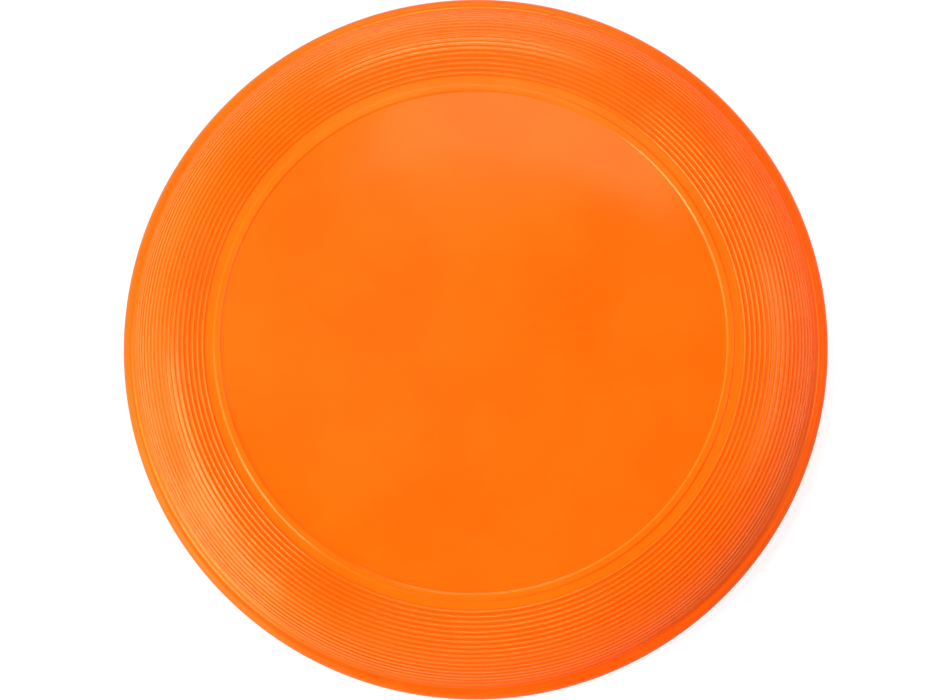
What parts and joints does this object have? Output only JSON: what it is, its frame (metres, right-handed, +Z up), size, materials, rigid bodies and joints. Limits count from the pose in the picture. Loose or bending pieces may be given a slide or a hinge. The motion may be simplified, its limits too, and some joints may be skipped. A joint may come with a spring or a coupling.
{
  "type": "flying disc",
  "caption": "Round throwing disc for garden and beach games, with a plain glossy print area inside a raised ring, a ridged rounded shoulder and a thick rounded rim, hollow underneath.",
  "frame": {"origin": "on the disc's axis, on the plane that the rim stands on", "axes": "+Z up the disc's axis through the top plate; X and Y are any two directions across, because the disc is round"},
  "size_m": [0.21, 0.21, 0.02],
  "materials": {
    "moulded_plastic": "glossy orange polypropylene, coloured right through, with a polished top plate"
  },
  "bodies": {
    "root": {"flight_plate": "moulded_plastic", "plate_ring": "moulded_plastic", "ridged_shoulder": "moulded_plastic", "rim_wall": "moulded_plastic", "rim_bead": "moulded_plastic"}
  },
  "joints": []
}
